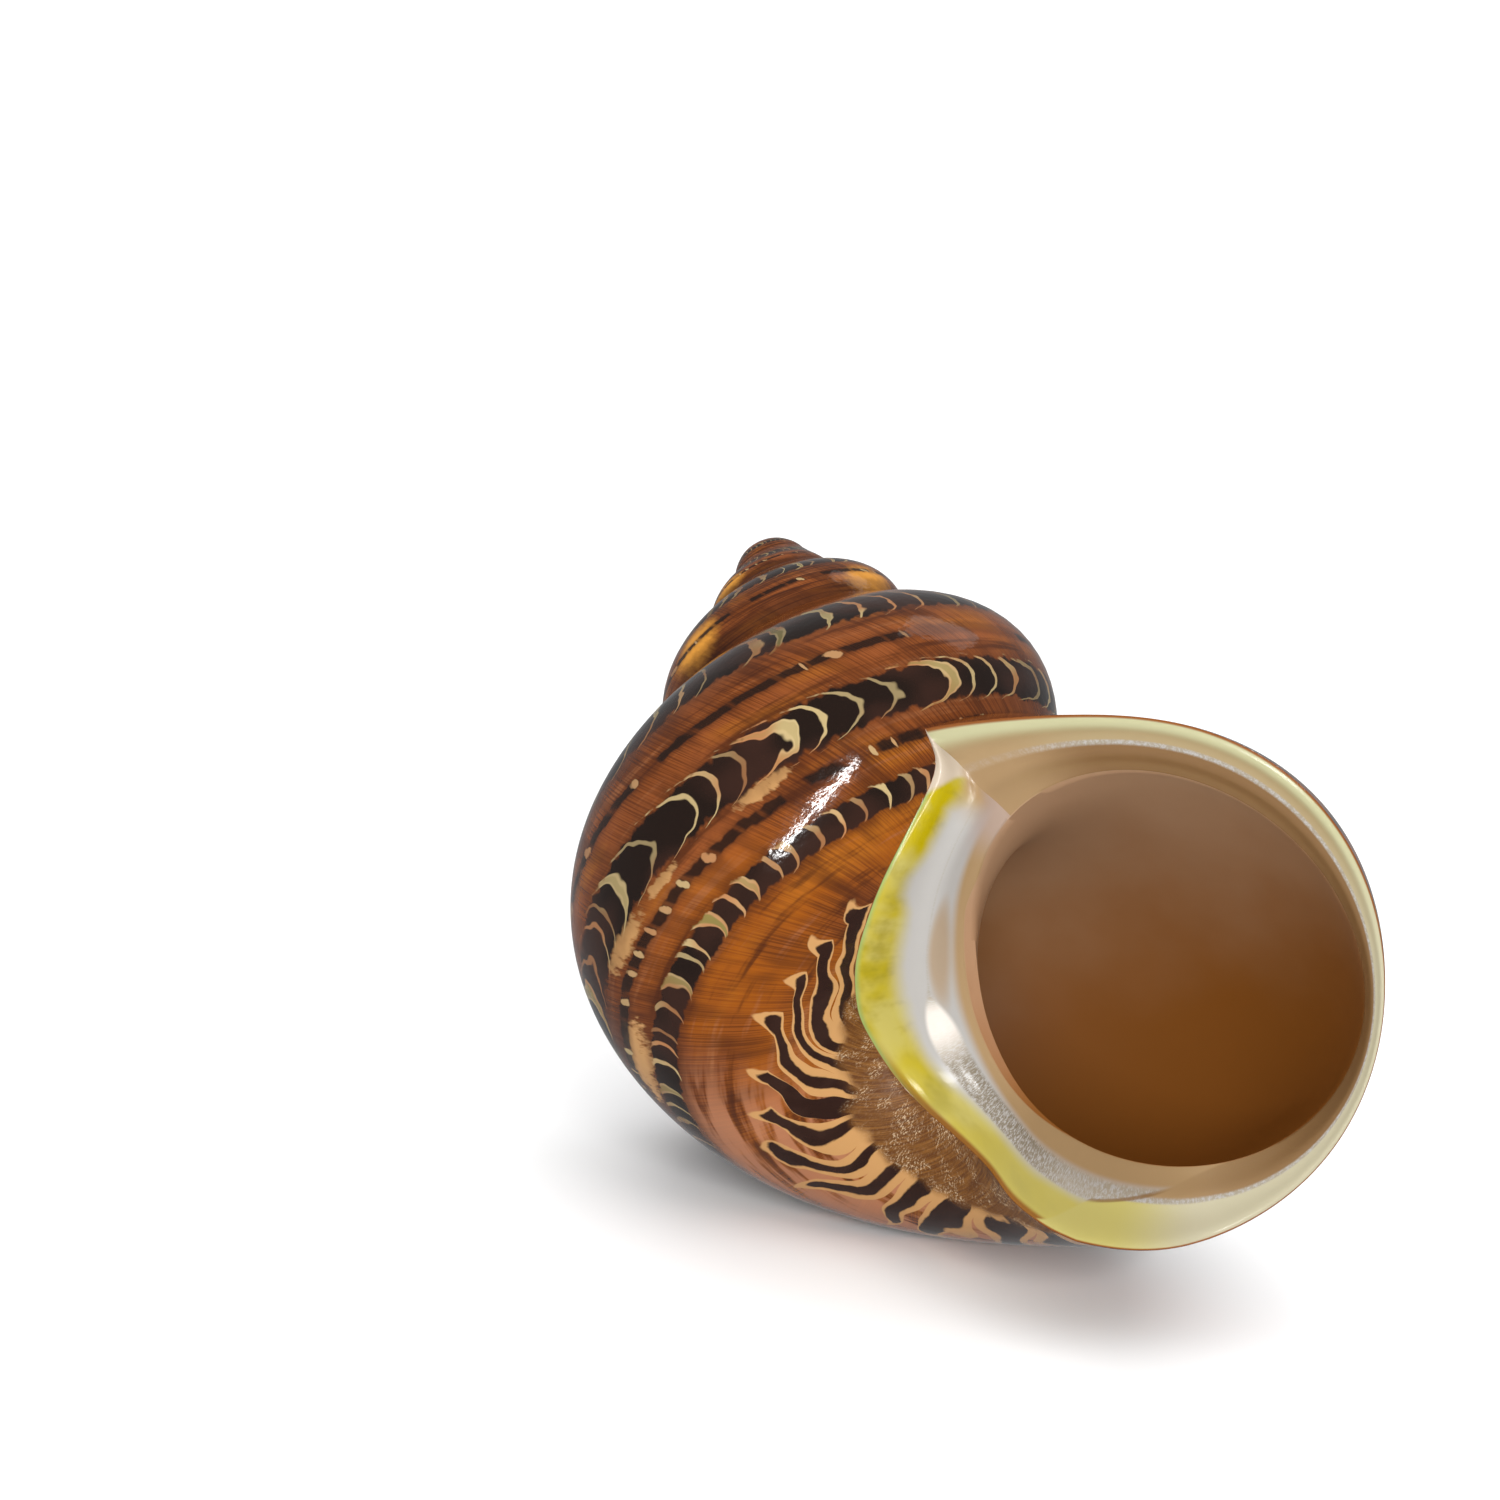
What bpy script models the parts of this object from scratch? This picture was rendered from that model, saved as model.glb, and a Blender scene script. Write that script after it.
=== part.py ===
# Turban shell, an empty sea snail shell lying with its mouth to the front.
#
# The shell is one grown piece. Its wall is the surface swept by one rounded outline, the
# whorl section, which turns around the shell's axis, sinks along it and grows by the same
# ratio every turn. Each whorl lands on the one before it along the suture. A second, smaller
# outline sweeps the hollow tube that the animal lived in. The two meet at the mouth: the thin
# outer lip, cut by one plane, and the callus, a thick smooth pad beside the shell's axis.
#
# In the shell's own frame the axis is Z, with the tip of the spire up. A turn is counted from
# a line near the mouth and is negative towards the tip. A section angle is counted in the
# plane through the axis: 0 points away from the axis and positive angles point to the tip.

import math

import bmesh
import bpy
import numpy as np

for item in list(bpy.data.objects):
    bpy.data.objects.remove(item, do_unlink=True)

# Growth of the whorls
GROWTH_PER_TURN = 1.956
SINKING_PER_TURN = 2.109
SECTION_RADIUS = 0.0206
SECTION_TO_AXIS = 0.0082
TIP_ABOVE_MOUTH_SECTION = 0.0365
LATE_SINKING = 0.0000621

# Outline of the whorl section: share of the radius, lobes, angle of the first lobe in degrees
SECTION_LOBES = ((-0.111, 2, 41.5), (0.034, 3, 5.3), (-0.026, 4, 64.1))

# The hollow tube: centre from the axis, centre below the section's, half widths, lean
TUBE_TO_AXIS = 0.0155
TUBE_BELOW_SECTION = 0.0021
TUBE_HALF_WIDTH = 0.0113
TUBE_HALF_HEIGHT = 0.01395
TUBE_LEAN = math.radians(25.8)
TUBE_TURNS = 1.5

# The mouth: the plane of the outer lip, and how far behind it the tube begins
LIP_NORMAL_AZIMUTH = math.radians(-123.2)
LIP_NORMAL_ELEVATION = math.radians(-39.9)
LIP_PLANE_OFFSET = 0.00272
LIP_BEVEL_DEPTH = 0.0019
LIP_BASE_TURN = -0.055
LIP_BASE_SOFTNESS = 0.02
MOUTH_CORNER_TURN = 0.22

# Edge of the callus on the last whorl, from the mouth's corner to its base: turn, angle
CALLUS_EDGE = (
    (-0.780, -0.484),
    (-0.783, -0.70),
    (-0.760, -0.90),
    (-0.725, -1.10),
    (-0.660, -1.37),
    (-0.580, -1.57),
    (-0.470, -1.72),
    (-0.340, -1.80),
    (-0.220, -1.86),
    (-0.135, -1.90),
    (-0.085, -1.83),
    (-0.055, -1.72),
)

# Rings between the mouth's outer edge and the tube: share of the way in, height of the swell
MOUTH_RINGS = ((0.12, 0.00045), (0.45, 0.0001), (0.8, 0.0004), (1.0, 0.0))
SWELL_FULL_AT_WIDTH = 0.00625
SWELL_LEAST = 0.25

# How finely the surface is divided
ROWS_PER_TURN = 48
SPIRE_TURNS = 4.5
SPIRE_COLUMNS = 8
LAST_WHORL_COLUMNS = 22
TUBE_SIDES = 36
TUBE_RINGS_PER_TURN = 30
TUBE_FADE_RINGS = 16
TUBE_TIP_RINGS = 5
TIP_HEIGHT = 0.00015

# How the shell lies: turns about X, Y and Z in degrees, and the depth of the worn flat below
REST_TURNS = (-52.2, -20.7, 19.2)
REST_FLAT_DEPTH = 0.00065

# Finish
SHELL_COLOUR = (0.36, 0.13, 0.045, 1.0)
SHELL_ROUGHNESS = 0.22
SHARP_EDGE_ANGLE = math.radians(50)

FULL_TURN = 2 * math.pi
HALVINGS = 50


def whorl_scale(turn):
    """Size of the whorl at a turn, 1 near the mouth."""
    return GROWTH_PER_TURN ** turn


def section_centre(turn):
    """Centre of the whorl section: distance from the axis, and height."""
    late = np.clip((turn + 1) * FULL_TURN, 0, None)
    height = TIP_ABOVE_MOUTH_SECTION * (1 - SINKING_PER_TURN ** turn) - LATE_SINKING * late ** 2
    return SECTION_TO_AXIS * whorl_scale(turn), height


def section_radius(angle):
    """Radius of the whorl section at an angle, for a scale of 1: a circle with soft lobes."""
    radius = 1.0
    for share, lobes, first in SECTION_LOBES:
        radius = radius + share * np.cos(lobes * (angle - math.radians(first)))
    return SECTION_RADIUS * radius


def around_axis(turn, distance, height):
    """Points at a turn, a distance from the axis and a height. The shell winds to the right."""
    phase = FULL_TURN * turn
    return np.stack([distance * np.cos(phase), -distance * np.sin(phase), height], -1)


def section_point(turn, angle):
    """Distance from the axis and height of a point on the wall."""
    distance, height = section_centre(turn)
    radius = whorl_scale(turn) * section_radius(angle)
    return distance + radius * np.cos(angle), height + radius * np.sin(angle)


def wall(turn, angle):
    """Points of the outer wall."""
    return around_axis(turn, *section_point(turn, angle))


def tube(turn, angle, size=1.0):
    """Points of the hollow: a leaning ellipse in each plane through the axis."""
    scale = whorl_scale(turn)
    height = section_centre(turn)[1]
    across = TUBE_HALF_WIDTH * np.cos(angle) * size
    along = TUBE_HALF_HEIGHT * np.sin(angle) * size
    out = TUBE_TO_AXIS + across * math.cos(TUBE_LEAN) - along * math.sin(TUBE_LEAN)
    up = across * math.sin(TUBE_LEAN) + along * math.cos(TUBE_LEAN) - TUBE_BELOW_SECTION
    return around_axis(turn, scale * out, height + scale * up)


def halve(is_low, low, high):
    """Halve the ranges from low to high until they close on the place where is_low ends."""
    for _ in range(HALVINGS):
        middle = (low + high) / 2
        below = is_low(middle)
        low = np.where(below, middle, low)
        high = np.where(below, high, middle)
    return low


def suture_angles(turn):
    """Angle where the whorl lands on the one before, and the same place's angle on that one."""

    def seen_from_before(angle):
        distance, height = section_point(turn, angle)
        before, level = section_centre(turn - 1)
        reach = np.hypot(distance - before, height - level)
        return reach, np.arctan2(height - level, distance - before)

    def is_outside(angle):
        reach, seen = seen_from_before(angle)
        return reach > whorl_scale(turn - 1) * section_radius(seen)

    landing = halve(is_outside, np.full_like(turn, 0.5), np.full_like(turn, 1.7))
    return landing, seen_from_before(landing)[1]


def lip_normal():
    """Direction that the mouth faces."""
    flat = math.cos(LIP_NORMAL_ELEVATION)
    return np.array([
        flat * math.cos(LIP_NORMAL_AZIMUTH),
        flat * math.sin(LIP_NORMAL_AZIMUTH),
        math.sin(LIP_NORMAL_ELEVATION),
    ])


def turn_at_lip_plane(surface, angle, depth=0.0):
    """Turn where a line of growth reaches the lip's plane, or a plane a depth behind it."""
    limit = LIP_PLANE_OFFSET - depth

    def is_behind(turn):
        return surface(turn, angle) @ lip_normal() < limit

    return halve(is_behind, np.full_like(angle, -0.27), np.full_like(angle, 0.35))


def lip_turn(angle):
    """Turn of the lip's edge: the plane's, but at the base no further back than a soft floor."""
    planar = turn_at_lip_plane(wall, np.maximum(angle, -1.3))
    above = (planar - LIP_BASE_TURN) / LIP_BASE_SOFTNESS
    return LIP_BASE_TURN + LIP_BASE_SOFTNESS * np.log1p(np.exp(above))


def callus_edge(share):
    """Turn and angle along the callus' edge: a smooth curve through its key points."""
    keys = np.array(CALLUS_EDGE)
    step_size = np.linalg.norm(np.diff(keys * (6, 14), axis=0), axis=1)
    knots = np.concatenate([[0], np.cumsum(step_size)]) / step_size.sum()
    slope = np.gradient(keys, knots, axis=0)
    i = np.clip(np.searchsorted(knots, share, side="right") - 1, 0, len(knots) - 2)
    gap = (knots[i + 1] - knots[i])[:, None]
    u = (share - knots[i])[:, None] / gap
    start = keys[i] * (2 * u ** 3 - 3 * u ** 2 + 1) + slope[i] * gap * (u ** 3 - 2 * u ** 2 + u)
    end = keys[i + 1] * (3 * u ** 2 - 2 * u ** 3) + slope[i + 1] * gap * (u ** 3 - u ** 2)
    return (start + end).T


class Skin:
    """Points and faces of one surface, gathered row by row."""

    def __init__(self):
        self.points = []
        self.faces = []

    def add(self, points):
        """Add points and return their numbers."""
        first = len(self.points)
        self.points.extend(points.tolist())
        return list(range(first, len(self.points)))

    def at(self, numbers):
        """Places of points, by their numbers."""
        return np.array([self.points[n] for n in numbers])

    def bridge(self, row, following):
        """Join two rows with as many points each, leaving out corners that they share."""
        for a, b, c, d in zip(row, following, following[1:], row[1:]):
            corners = [a, b, c, d]
            self.faces.append([p for n, p in enumerate(corners) if p != corners[n - 1]])

    def zip_up(self, row, following, row_places, following_places):
        """Join two rows of different lengths with triangles, in the order of their places."""
        i = j = 0
        while i < len(row) - 1 or j < len(following) - 1:
            row_next = i < len(row) - 1
            if row_next and j < len(following) - 1:
                row_next = row_places[i + 1] <= following_places[j + 1]
            if row_next:
                self.faces.append([row[i], following[j], row[i + 1]])
                i += 1
            else:
                self.faces.append([row[i], following[j], following[j + 1]])
                j += 1

    def fan(self, ring, centre):
        """Close a ring with triangles that meet at one point."""
        for a, b in zip(ring, ring[1:] + ring[:1]):
            self.faces.append([a, centre, b])


def add_spire(skin):
    """Rows of the whorls from the tip to the mouth's corner. Each lands on the row below."""
    count = round(SPIRE_TURNS * ROWS_PER_TURN)
    turns = MOUTH_CORNER_TURN - 1 - SPIRE_TURNS + np.arange(count) / ROWS_PER_TURN
    upper = suture_angles(turns)[0]
    lower = suture_angles(turns + 1)[1]
    across = np.linspace(0, 1, SPIRE_COLUMNS + 1)
    rows = []
    for i, turn in enumerate(turns):
        points = wall(turn, upper[i] + (lower[i] - upper[i]) * across)
        if i < ROWS_PER_TURN:
            rows.append(skin.add(points))
        else:
            rows.append([rows[i - ROWS_PER_TURN][-1]] + skin.add(points[1:]))
    for row, following in zip(rows, rows[1:]):
        skin.bridge(row, following)
    return rows


def add_last_whorl(skin, spire):
    """Rows from the mouth's corner around to the lip, from the suture to the callus' edge."""
    turns = MOUTH_CORNER_TURN - 1 + np.arange(ROWS_PER_TURN + 1) / ROWS_PER_TURN
    upper = suture_angles(turns)[0]
    edge_turn, edge_angle = callus_edge(np.linspace(0, 1, ROWS_PER_TURN + 1))
    across = np.linspace(0, 1, LAST_WHORL_COLUMNS + 1)

    # Every row leans like the lip, more so the nearer it is to it
    lip = lip_turn(upper[-1] + (edge_angle[-1] - upper[-1]) * across)
    lean = (lip - lip[0]) / (lip[-1] - lip[0])

    rows = []
    for i, turn in enumerate(turns):
        angle = upper[i] + (edge_angle[i] - upper[i]) * across
        points = wall(turn + (edge_turn[i] - turn) * lean, angle)
        if i < ROWS_PER_TURN:
            landing = spire[len(spire) - ROWS_PER_TURN + i][-1]
        else:
            landing = rows[0][-1]
        rows.append([landing] + skin.add(points[1:]))

    skin.zip_up(spire[-1], rows[0], np.linspace(0, 1, SPIRE_COLUMNS + 1), across)
    for row, following in zip(rows, rows[1:]):
        skin.bridge(row, following)
    return rows


def close_tip(skin, spire):
    """Close the tip of the spire, inside the first turn's suture."""
    tip = skin.at(spire[0][:1])[0] * (0, 0, 1) + (0, 0, TIP_HEIGHT)
    centre = skin.add(tip[None])[0]
    rim = [row[0] for row in spire[:ROWS_PER_TURN]] + spire[0][:0:-1]
    skin.fan(rim[::-1], centre)


def mouth_angles(points, centre):
    """Angles of points around the mouth's centre, as seen from in front of the lip's plane."""
    up = np.cross(lip_normal(), (1, 0, 0))
    up = up / np.linalg.norm(up)
    side = np.cross(up, lip_normal())
    return np.unwrap(np.arctan2((points - centre) @ up, (points - centre) @ side))


def tube_start(angle):
    """Points where the tube begins, just behind the lip's plane."""
    return tube(turn_at_lip_plane(tube, angle, LIP_BEVEL_DEPTH), angle)


def add_mouth(skin, whorl):
    """Rings from the lip and the callus' edge in to the tube, each a closed row."""
    edge = whorl[-1][:-1] + [row[-1] for row in whorl[:0:-1]]
    outside = skin.at(edge)

    # The tube's point for each point of the edge is the one at the same angle in the mouth
    fine = np.linspace(0, FULL_TURN, 721)
    centre = tube_start(fine[:-1]).mean(0)
    fine_angles = mouth_angles(tube_start(fine), centre)
    sense = np.sign(fine_angles[-1] - fine_angles[0])
    passed = (mouth_angles(outside, centre) - fine_angles[0]) * sense % FULL_TURN
    places = np.interp(passed, (fine_angles - fine_angles[0]) * sense, fine)
    inside = tube_start(places)

    width = np.linalg.norm(outside - inside, axis=1)
    swell = np.clip(width / SWELL_FULL_AT_WIDTH, SWELL_LEAST, 1)[:, None] * lip_normal()
    ring = edge
    for share, height in MOUTH_RINGS:
        following = skin.add(outside + (inside - outside) * share + swell * height)
        skin.bridge(ring + ring[:1], following + following[:1])
        ring = following
    return ring, places


def add_tube(skin, mouth_ring, mouth_places):
    """Rings of the hollow, from the mouth back to its closed, rounded end."""
    places = np.linspace(0, FULL_TURN, TUBE_SIDES, endpoint=False)
    first_turn = turn_at_lip_plane(tube, places, LIP_BEVEL_DEPTH)
    sense = np.sign(np.median(np.diff(np.unwrap(mouth_places))))
    order = np.argsort((places - mouth_places[0]) * sense % FULL_TURN)
    count = round(TUBE_TURNS * TUBE_RINGS_PER_TURN)

    ring = []
    for i in range(1, count):
        left = np.clip(1 - i / TUBE_FADE_RINGS, 0, 1)
        slant = left ** 2 * (3 - 2 * left)
        turn = first_turn.mean() - i / TUBE_RINGS_PER_TURN
        narrowing = np.clip((i - count + TUBE_TIP_RINGS) / TUBE_TIP_RINGS, 0, 1)
        points = tube(turn + (first_turn - first_turn.mean()) * slant, places,
                      math.sqrt(1 - narrowing ** 2))
        following = skin.add(points[order])
        if ring:
            skin.bridge(ring + ring[:1], following + following[:1])
        else:
            passed = (mouth_places - mouth_places[0]) * sense % FULL_TURN
            passed = np.maximum.accumulate(np.append(passed, FULL_TURN))
            reached = (places[order] - mouth_places[0]) * sense % FULL_TURN
            reached = np.append(reached, reached[0] + FULL_TURN)
            skin.zip_up(mouth_ring + mouth_ring[:1], following + following[:1], passed, reached)
        ring = following

    end_turn = np.array([first_turn.mean() - count / TUBE_RINGS_PER_TURN])
    skin.fan(ring, skin.add(tube(end_turn, np.zeros(1), 0.0))[0])


def turned(points, degrees):
    """Points turned about X, then Y, then Z."""
    a, b, c = np.radians(degrees)
    about_x = np.array([[1, 0, 0], [0, np.cos(a), -np.sin(a)], [0, np.sin(a), np.cos(a)]])
    about_y = np.array([[np.cos(b), 0, np.sin(b)], [0, 1, 0], [-np.sin(b), 0, np.cos(b)]])
    about_z = np.array([[np.cos(c), -np.sin(c), 0], [np.sin(c), np.cos(c), 0], [0, 0, 1]])
    return points @ (about_z @ about_y @ about_x).T


def laid_down(points):
    """Points of the lying shell, with its worn flat at height 0 and its box centred."""
    points = turned(points, REST_TURNS)
    low, high = points.min(0), points.max(0)
    middle = (low + high) / 2
    return points - (middle[0], middle[1], low[2] + REST_FLAT_DEPTH)


def shell_mesh():
    """The shell as one closed mesh, worn flat where it rests."""
    skin = Skin()
    spire = add_spire(skin)
    whorl = add_last_whorl(skin, spire)
    close_tip(skin, spire)
    add_tube(skin, *add_mouth(skin, whorl))

    mesh = bpy.data.meshes.new("turban_shell")
    mesh.from_pydata(laid_down(np.array(skin.points)).tolist(), [], skin.faces)
    form = bmesh.new()
    form.from_mesh(mesh)
    everything = form.verts[:] + form.edges[:] + form.faces[:]
    cut = bmesh.ops.bisect_plane(form, geom=everything, plane_co=(0, 0, 0),
                                 plane_no=(0, 0, 1), clear_inner=True)
    rim = [part for part in cut["geom_cut"] if isinstance(part, bmesh.types.BMEdge)]
    bmesh.ops.contextual_create(form, geom=rim)
    bmesh.ops.recalc_face_normals(form, faces=form.faces[:])
    form.to_mesh(mesh)
    form.free()
    return mesh


def shell_material():
    """Polished, warm brown shell."""
    material = bpy.data.materials.new("polished_shell")
    material.use_nodes = True
    surface = material.node_tree.nodes["Principled BSDF"]
    surface.inputs["Base Color"].default_value = SHELL_COLOUR
    surface.inputs["Roughness"].default_value = SHELL_ROUGHNESS
    surface.inputs["Metallic"].default_value = 0.0
    return material


def make_shell():
    """The shell's object, smooth but for its edges."""
    mesh = shell_mesh()
    mesh.materials.append(shell_material())
    mesh.shade_smooth()
    mesh.set_sharp_from_angle(angle=SHARP_EDGE_ANGLE)
    shell = bpy.data.objects.new("turban_shell", mesh)
    bpy.context.scene.collection.objects.link(shell)
    return shell


make_shell()
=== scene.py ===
import math
import bmesh
import bpy
import numpy as np
from mathutils import Euler, Matrix, Vector


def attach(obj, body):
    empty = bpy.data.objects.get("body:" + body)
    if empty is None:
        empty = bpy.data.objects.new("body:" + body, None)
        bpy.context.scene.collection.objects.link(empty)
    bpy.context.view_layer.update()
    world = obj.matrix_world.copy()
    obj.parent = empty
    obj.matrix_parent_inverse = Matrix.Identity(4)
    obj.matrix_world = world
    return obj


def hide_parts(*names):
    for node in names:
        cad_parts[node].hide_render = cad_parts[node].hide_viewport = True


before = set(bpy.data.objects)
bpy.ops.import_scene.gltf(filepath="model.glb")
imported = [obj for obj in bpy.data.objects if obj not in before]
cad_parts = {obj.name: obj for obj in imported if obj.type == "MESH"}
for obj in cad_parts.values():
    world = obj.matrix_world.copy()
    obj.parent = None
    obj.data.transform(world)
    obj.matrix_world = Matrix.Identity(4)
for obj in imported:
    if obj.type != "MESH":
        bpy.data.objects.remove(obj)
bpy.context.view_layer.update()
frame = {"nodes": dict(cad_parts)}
print("frame loaded:", ", ".join(frame["nodes"]))

fullTurn = 2 * math.pi

# The shell's form, the same as the part's: lengths in metres, places along the whorl in turns
# from a line near the mouth, and angles around the whorl's section, 0 pointing away from the axis.
shellForm = {
    "growth": 1.956,
    "sinking": 2.109,
    "sectionRadius": 0.0206,
    "sectionToAxis": 0.0082,
    "tipHeight": 0.0365,
    "lateSinking": 0.0000621,
    "lobes": ((-0.111, 2, 41.5), (0.034, 3, 5.3), (-0.026, 4, 64.1)),
    "tubeToAxis": 0.0155,
    "tubeBelow": 0.0021,
    "tubeHalfWidth": 0.0113,
    "tubeHalfHeight": 0.01395,
    "tubeLean": math.radians(25.8),
    "tubeTurns": 1.5,
    "tubeFadeTurns": 16 / 30,
    "tubeEndTurns": 5 / 30,
    "sutureRange": (0.5, 1.7),
    "lipAzimuth": math.radians(-123.2),
    "lipElevation": math.radians(-39.9),
    "lipOffset": 0.00272,
    "lipBevel": 0.0019,
    "lipBaseTurn": -0.055,
    "lipBaseSoftness": 0.02,
    "lipRange": (-0.27, 0.35),
    "lipLowest": -1.3,
    "cornerTurn": 0.22,
    "spireTurns": 4.5,
    "capHeight": 0.00015,
    "wornTurn": -2.6,
    "wornOver": 0.6,
    "wornShare": 0.85,
    "domeDepth": 0.0032,
    "domeWiden": 1.2,
    "restTurns": (-52.2, -20.7, 19.2),
    "restShift": (0.003010095, 0.007248967, -0.019263865),
}

# Edge of the pad beside the mouth, from the mouth's corner to its base: turn, angle
padEdgeKeys = np.array([
    (-0.780, -0.484), (-0.783, -0.70), (-0.760, -0.90), (-0.725, -1.10),
    (-0.660, -1.37), (-0.580, -1.57), (-0.470, -1.72), (-0.340, -1.80),
    (-0.220, -1.86), (-0.135, -1.90), (-0.085, -1.83), (-0.055, -1.72),
])
padEdgeWeights = (6, 14)  # how much a turn and an angle count towards the distance between keys

# How finely the shell is divided
shellGrain = {
    "rowsPerTurn": 288,
    "spireColumns": 20,
    "whorlColumns": 120,
    "mouthRings": 26,
    "tubeSides": 132,
    "tubeRingsPerTurn": 60,
    "halvings": 50,
    "mouthSamples": 1440,
    "sharpAngle": math.radians(50),
}

# Relief of the pad and lip. Each roll has a height, a place across the mouth's margin and a width,
# the last two as shares of the margin. A narrow margin has lower rolls and falls in more steeply.
mouthRelief = {
    "rolls": ((0.00046, 0.13, 0.14), (0.00044, 0.64, 0.15)),
    "endWidths": (0.03, 0.05),
    "fullWidth": 0.00625,
    "least": 0.25,
    "narrowWidth": 0.002,
    "broadWidth": 0.005,
    "extraSteepness": 1.4,
}


# size = growth to the power of the turn
def whorlScale(turn):
    return shellForm["growth"] ** turn


# distance from the axis = constant * scale; height = tip * (1 - sinking ** turn), less a constant
# times late ** 2, with late the angle turned since turn -1
def sectionCentre(turn):
    late = np.clip((turn + 1) * fullTurn, 0, None)
    drop = shellForm["tipHeight"] * (1 - shellForm["sinking"] ** turn)
    return shellForm["sectionToAxis"] * whorlScale(turn), drop - shellForm["lateSinking"] * late ** 2


# radius = constant * (1 + sum of share * cos(lobes * (angle - first)))
def sectionRadius(angle):
    radius = 1.0
    for share, lobes, first in shellForm["lobes"]:
        radius = radius + share * np.cos(lobes * (angle - math.radians(first)))
    return shellForm["sectionRadius"] * radius


# point = (out * cos(phase), -out * sin(phase), up), with phase = full turn * turn
def aroundAxis(turn, out, up):
    phase = fullTurn * turn
    return np.stack([out * np.cos(phase), -out * np.sin(phase), up], -1)


# out and up of the wall = centre + scale * radius * (cos(angle), sin(angle))
def sectionPoint(turn, angle):
    out, up = sectionCentre(turn)
    radius = whorlScale(turn) * sectionRadius(angle)
    return out + radius * np.cos(angle), up + radius * np.sin(angle)


# the outer wall: the section's point, turned around the axis
def wallPoint(turn, angle):
    return aroundAxis(turn, *sectionPoint(turn, angle))


# the hollow: an ellipse in each plane through the axis, leaning by tubeLean, times the scale
def tubePoint(turn, angle, size=1.0):
    scale = whorlScale(turn)
    across = shellForm["tubeHalfWidth"] * np.cos(angle) * size
    along = shellForm["tubeHalfHeight"] * np.sin(angle) * size
    lean = shellForm["tubeLean"]
    out = shellForm["tubeToAxis"] + across * math.cos(lean) - along * math.sin(lean)
    up = across * math.sin(lean) + along * math.cos(lean) - shellForm["tubeBelow"]
    return aroundAxis(turn, scale * out, sectionCentre(turn)[1] + scale * up)


# halves each range from low to high, over and over, to find where isLow ends
def halve(isLow, low, high):
    for _ in range(shellGrain["halvings"]):
        middle = (low + high) / 2
        below = isLow(middle)
        low, high = np.where(below, middle, low), np.where(below, high, middle)
    return low


# the angle where a whorl meets the outline of the one before, and that place's angle there
def sutureAngles(turn):
    before, level = sectionCentre(turn - 1)

    def seenFromBefore(angle):
        out, up = sectionPoint(turn, angle)
        return np.hypot(out - before, up - level), np.arctan2(up - level, out - before)

    def isOutside(angle):
        reach, seen = seenFromBefore(angle)
        return reach > whorlScale(turn - 1) * sectionRadius(seen)

    low, high = shellForm["sutureRange"]
    landing = halve(isOutside, np.full_like(turn, low), np.full_like(turn, high))
    return landing, seenFromBefore(landing)[1]


# which way the lip's plane faces = (cos e * cos a, cos e * sin a, sin e)
lipNormal = np.array([
    math.cos(shellForm["lipElevation"]) * math.cos(shellForm["lipAzimuth"]),
    math.cos(shellForm["lipElevation"]) * math.sin(shellForm["lipAzimuth"]),
    math.sin(shellForm["lipElevation"]),
])


# the turn where a line of growth reaches the lip's plane, or one a depth behind it
def turnAtLip(surface, angle, depth=0.0):
    limit = shellForm["lipOffset"] - depth

    def isBehind(turn):
        return surface(turn, angle) @ lipNormal < limit

    low, high = shellForm["lipRange"]
    return halve(isBehind, np.full_like(angle, low), np.full_like(angle, high))


# lip = base + softness * ln(1 + e ** ((plane's turn - base) / softness))
def lipTurn(angle):
    base, softness = shellForm["lipBaseTurn"], shellForm["lipBaseSoftness"]
    planar = turnAtLip(wallPoint, np.maximum(angle, shellForm["lipLowest"]))
    return base + softness * np.log1p(np.exp((planar - base) / softness))


# a smooth curve (cubic Hermite) through the pad's key points, at shares of its length
def padEdge(share):
    keys = padEdgeKeys
    gaps = np.linalg.norm(np.diff(keys * padEdgeWeights, axis=0), axis=1)
    knots = np.concatenate([[0], np.cumsum(gaps)]) / gaps.sum()
    slope = np.gradient(keys, knots, axis=0)
    i = np.clip(np.searchsorted(knots, share, side="right") - 1, 0, len(knots) - 2)
    gap = (knots[i + 1] - knots[i])[:, None]
    u = (share - knots[i])[:, None] / gap
    start = keys[i] * (2 * u ** 3 - 3 * u ** 2 + 1) + slope[i] * gap * (u ** 3 - 2 * u ** 2 + u)
    end = keys[i + 1] * (3 * u ** 2 - 2 * u ** 3) + slope[i + 1] * gap * (u ** 3 - u ** 2)
    return (start + end).T


# turns about X, then Y, then Z, then the shift that puts the resting place at height 0
def laidDown(points):
    turning = Euler([math.radians(a) for a in shellForm["restTurns"]], "XYZ").to_matrix()
    laid = points @ np.array(turning).T - np.array(shellForm["restShift"])
    laid[:, 2] = np.maximum(laid[:, 2], 0)  # the worn flat
    return laid


# What the patches of the surface add up to, before they are welded
skin = {"points": [], "growth": [], "zone": [], "quads": [], "triangles": []}


# keeps a grid of points, with their growth coordinates and zone, and returns their numbers
def layPatch(points, growth, zone):
    first = sum(len(p) for p in skin["points"])
    shape = points.shape[:-1]
    skin["points"].append(points.reshape(-1, 3))
    skin["growth"].append(np.stack(np.broadcast_arrays(*growth), -1).reshape(-1, 2))
    skin["zone"].append(np.broadcast_to(zone, shape).reshape(-1))
    return first + np.arange(points[..., 0].size).reshape(shape)


# four neighbours of a grid make one face
def coverGrid(ids):
    corners = [ids[:-1, :-1], ids[1:, :-1], ids[1:, 1:], ids[:-1, 1:]]
    skin["quads"].append(np.stack(corners, -1).reshape(-1, 4))


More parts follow.
